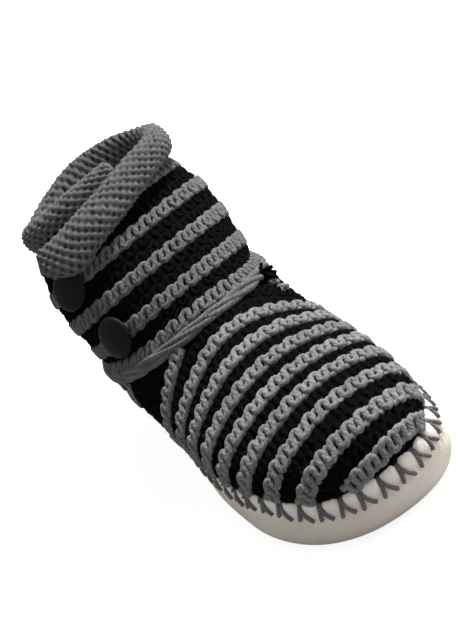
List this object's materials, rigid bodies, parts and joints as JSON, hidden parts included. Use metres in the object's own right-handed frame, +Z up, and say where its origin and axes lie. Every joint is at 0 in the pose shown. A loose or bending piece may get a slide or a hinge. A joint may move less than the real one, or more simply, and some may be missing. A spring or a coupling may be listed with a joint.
{
  "type": "house slipper",
  "caption": "Hand-knitted ankle-high house slipper with a moulded suede sole pan, a rolled collar and shank buttons on its outer side.",
  "frame": {"origin": "on the floor, under the middle of the slipper's box", "axes": "+Z up, toe towards -Y, the inner (big toe) side of the foot towards +X"},
  "size_m": [0.1012, 0.2618, 0.147],
  "materials": {
    "suede": "matt cream suede, flesh side out",
    "felt": "pressed wool felt",
    "knit": "chunky knit in black and grey wool",
    "collar_knit": "thick grey moss stitch",
    "horn": "dark polished horn look"
  },
  "bodies": {
    "root": {"suede_sole": "suede", "insole": "felt", "knit_upper": "knit", "collar_roll": "collar_knit", "button_lower": "horn", "button_upper": "horn"}
  },
  "joints": []
}
